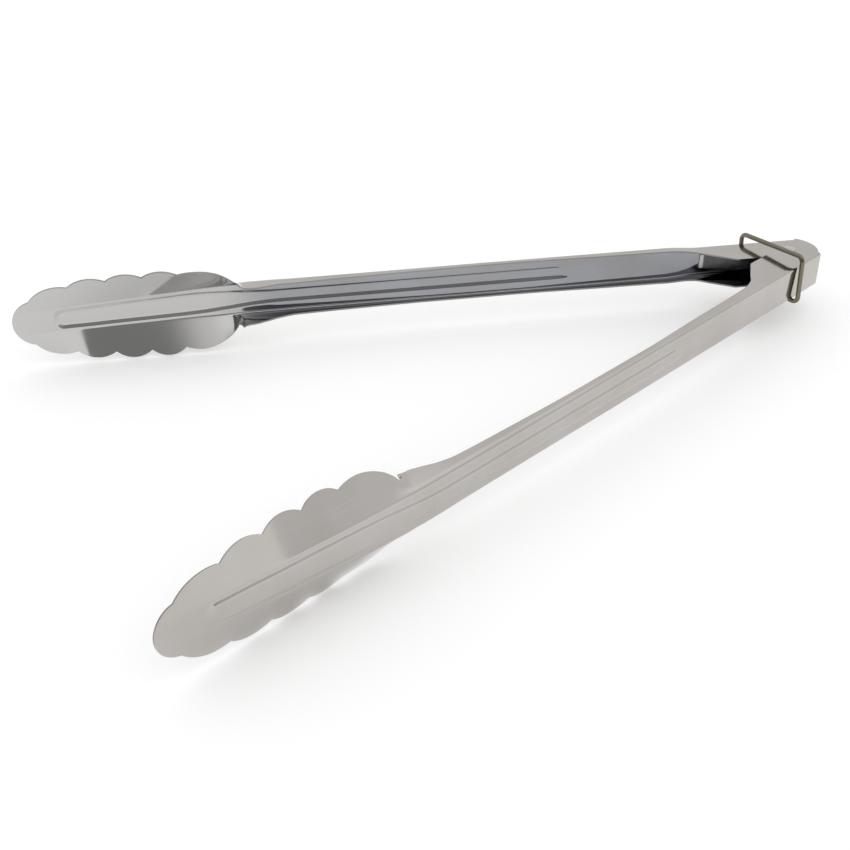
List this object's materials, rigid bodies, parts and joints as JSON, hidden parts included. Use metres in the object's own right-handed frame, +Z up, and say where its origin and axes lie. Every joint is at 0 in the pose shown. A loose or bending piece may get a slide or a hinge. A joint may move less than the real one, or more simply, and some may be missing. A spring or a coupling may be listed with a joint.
{
  "type": "spring loaded kitchen tongs",
  "caption": "Long pressed-steel kitchen tongs with scalloped heads, hinged at one end, sprung open by a leaf spring and closed by a sliding wire ring.",
  "frame": {"origin": "centre of the bottom of the box round the open tongs lying on their side", "axes": "+Z up, along the hinge pin; the heads point to -X; the outer arm is on the -Y side"},
  "size_m": [0.3874, 0.2472, 0.046],
  "materials": {
    "arm_steel": "polished stainless steel, satin on the outer faces",
    "pin_steel": "bright riveted steel",
    "spring_steel": "bright spring steel",
    "ring_steel": "drawn steel wire"
  },
  "bodies": {
    "hinge": {"hinge_pin": "pin_steel", "leaf_spring": "spring_steel"},
    "outer_arm_body": {"outer_arm": "arm_steel"},
    "inner_arm_body": {"inner_arm": "arm_steel"},
    "ring_body": {"lock_ring": "ring_steel"}
  },
  "joints": [
    {"name": "outer_arm_hinge", "type": "hinge", "parent": "hinge", "child": "outer_arm_body", "pos_m": [0.1793, 0, 0.023], "axis": [0, 0, -1], "range_deg": [0, 18], "stiffness_Nm_per_rad": 1.2, "springref_deg": -20.05, "deforming": ["leaf_spring"]},
    {"name": "inner_arm_hinge", "type": "hinge", "parent": "hinge", "child": "inner_arm_body", "pos_m": [0.1793, 0, 0.023], "axis": [0, 0, 1], "range_deg": [0, 18], "stiffness_Nm_per_rad": 1.2, "springref_deg": -20.05, "deforming": ["leaf_spring"]},
    {"name": "ring_slide", "type": "slide", "parent": "hinge", "child": "ring_body", "axis": [-1, 0, 0], "range_m": [0, 0.02]}
  ],
  "couplings": [
    {"joint": "inner_arm_hinge", "follows": "outer_arm_hinge", "ratio": 1},
    {"joint": "ring_slide", "follows": "outer_arm_hinge", "m_per_rad": 0.0636}
  ]
}
